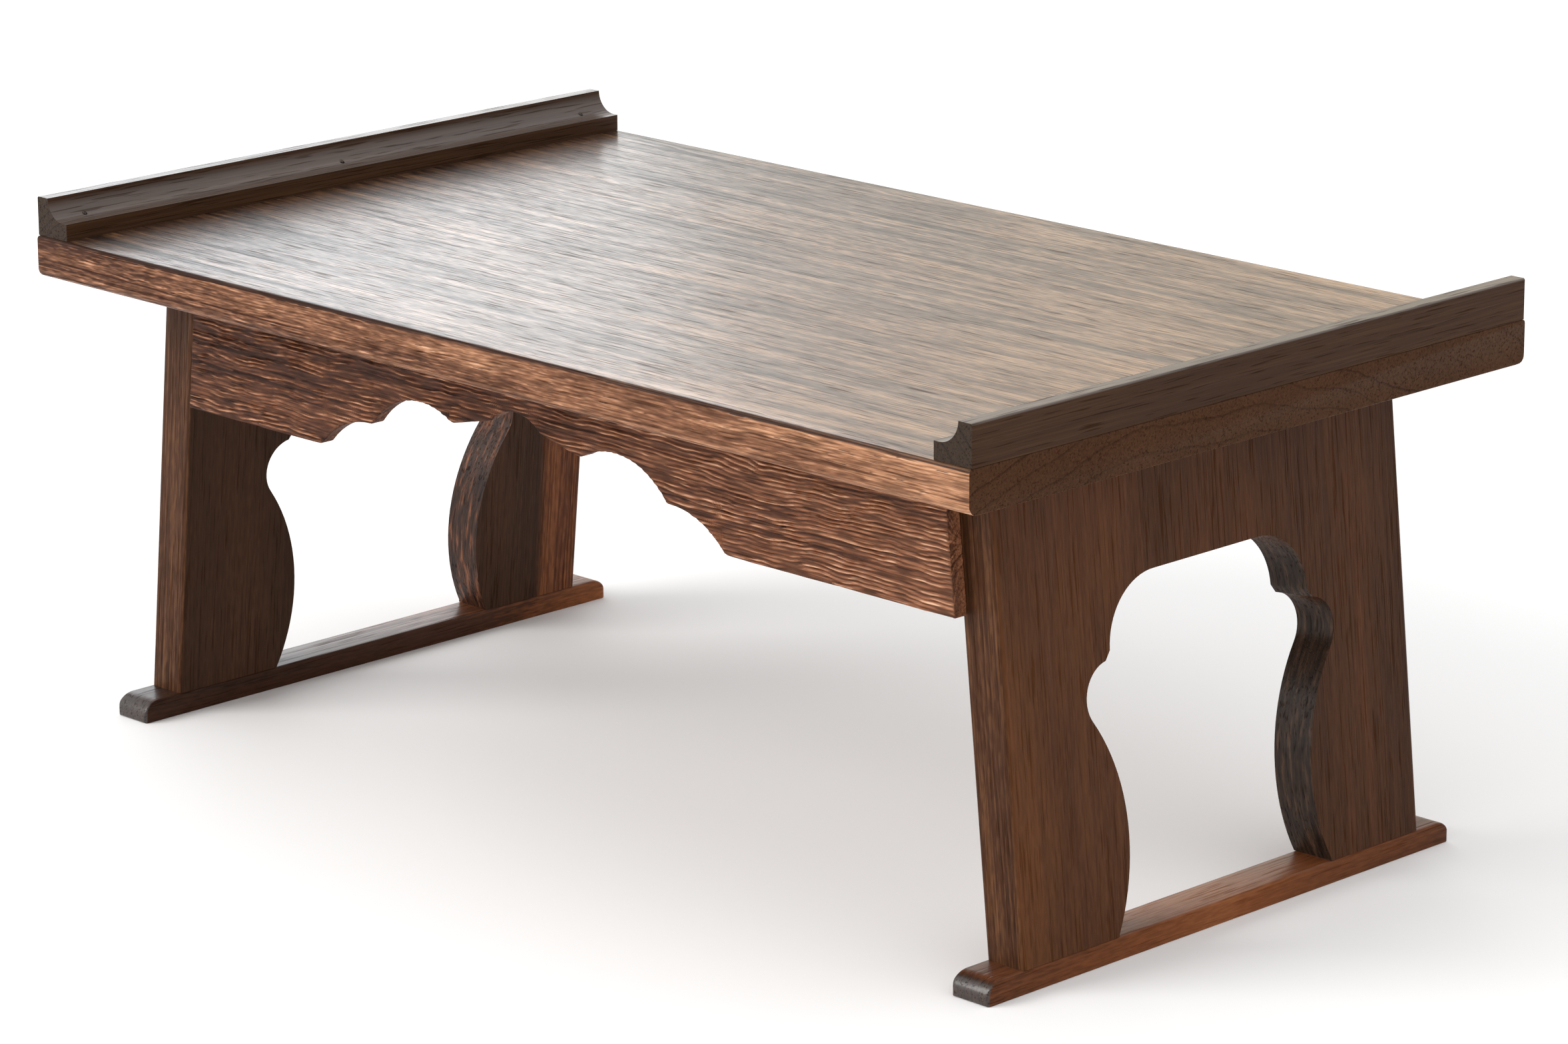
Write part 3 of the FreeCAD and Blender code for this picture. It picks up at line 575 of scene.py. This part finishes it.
def plane(name, size, colour):
    """A level square of one pale colour that isn't part of the object."""
    bm = bmesh.new()
    bmesh.ops.create_grid(bm, x_segments=1, y_segments=1, size=size)
    mesh = bpy.data.meshes.new(name)
    bm.to_mesh(mesh)
    bm.free()
    p = Paint(name)
    mesh.materials.append(p.finish(**{"Base Color": (*colour, 1.0), "Roughness": 0.9}))
    floor = bpy.data.objects.new(name, mesh)
    scene.collection.objects.link(floor)


def lamp(name, place, aim, size, power, colour):
    """A soft rectangular light at a place, turned to an aim."""
    light = bpy.data.lights.new(name, "AREA")
    light.shape = "RECTANGLE"
    light.size, light.size_y = size
    light.energy = power
    light.color = colour
    thing = bpy.data.objects.new(name, light)
    way = Vector(aim) - Vector(place)
    thing.matrix_world = Matrix.Translation(place) @ way.to_track_quat("-Z", "Y").to_matrix().to_4x4()
    scene.collection.objects.link(thing)


plane("floor", 12.0, (0.95, 0.95, 0.95))
world = bpy.data.worlds.new("studio")
world.use_nodes = True
sky = world.node_tree
direction = sky.nodes.new("ShaderNodeTexCoord")
toward = sky.nodes.new("ShaderNodeVectorMath")
toward.operation = "DOT_PRODUCT"
toward.inputs[1].default_value = (-0.50, 0.84, 0.21)
fade = sky.nodes.new("ShaderNodeValToRGB")
fade.color_ramp.interpolation = "EASE"
fade.color_ramp.elements[0].position = 0.93
fade.color_ramp.elements[0].color = (1.0, 1.0, 1.0, 1.0)
fade.color_ramp.elements[1].position = 1.0
fade.color_ramp.elements[1].color = (0.92, 0.83, 0.66, 1.0)
sky.links.new(direction.outputs["Generated"], toward.inputs[0])
sky.links.new(toward.outputs["Value"], fade.inputs["Fac"])
sky.links.new(fade.outputs["Color"], sky.nodes["Background"].inputs["Color"])
sky.nodes["Background"].inputs["Strength"].default_value = 1.03
scene.world = world
lamp("key", (-1.6, -3.0, 2.0), (0, 0, 0.1), (2.2, 2.2), 93, (1.0, 0.985, 0.965))
lamp("window", (-3.7, 2.3, 1.7), (0, 0, 0.2), (1.8, 2.2), 18, (0.9, 0.95, 1.0))


# Camera, fitted to the photograph

def aim_camera(azimuth, elevation, roll, distance, right_shift, up_shift, lens):
    """The camera, by its angles in degrees round the middle of the table and its lens in millimetres."""
    a, e, r = (math.radians(v) for v in (azimuth, elevation, roll))
    back = Vector((math.sin(a) * math.cos(e), -math.cos(a) * math.cos(e), math.sin(e)))
    right = (-back).cross(Vector((0, 0, 1))).normalized()
    up = right.cross(-back)
    target = Vector((0, 0, 0.13)) + right * right_shift + up * up_shift
    place = target + back * distance
    side = right * math.cos(r) + up * math.sin(r)
    head = up * math.cos(r) - right * math.sin(r)
    camera = bpy.data.cameras.new("camera")
    camera.lens = lens
    camera.sensor_width = 36
    camera.sensor_fit = "HORIZONTAL"
    thing = bpy.data.objects.new("camera", camera)
    scene.collection.objects.link(thing)
    thing.matrix_world = Matrix.Translation(place) @ Matrix((side, head, back)).transposed().to_4x4()
    scene.camera = thing


aim_camera(45.2964, 15.6701, -0.2575, 2.676775, 0.01165, -0.007548, 134.37)
scene.view_settings.view_transform = "Standard"
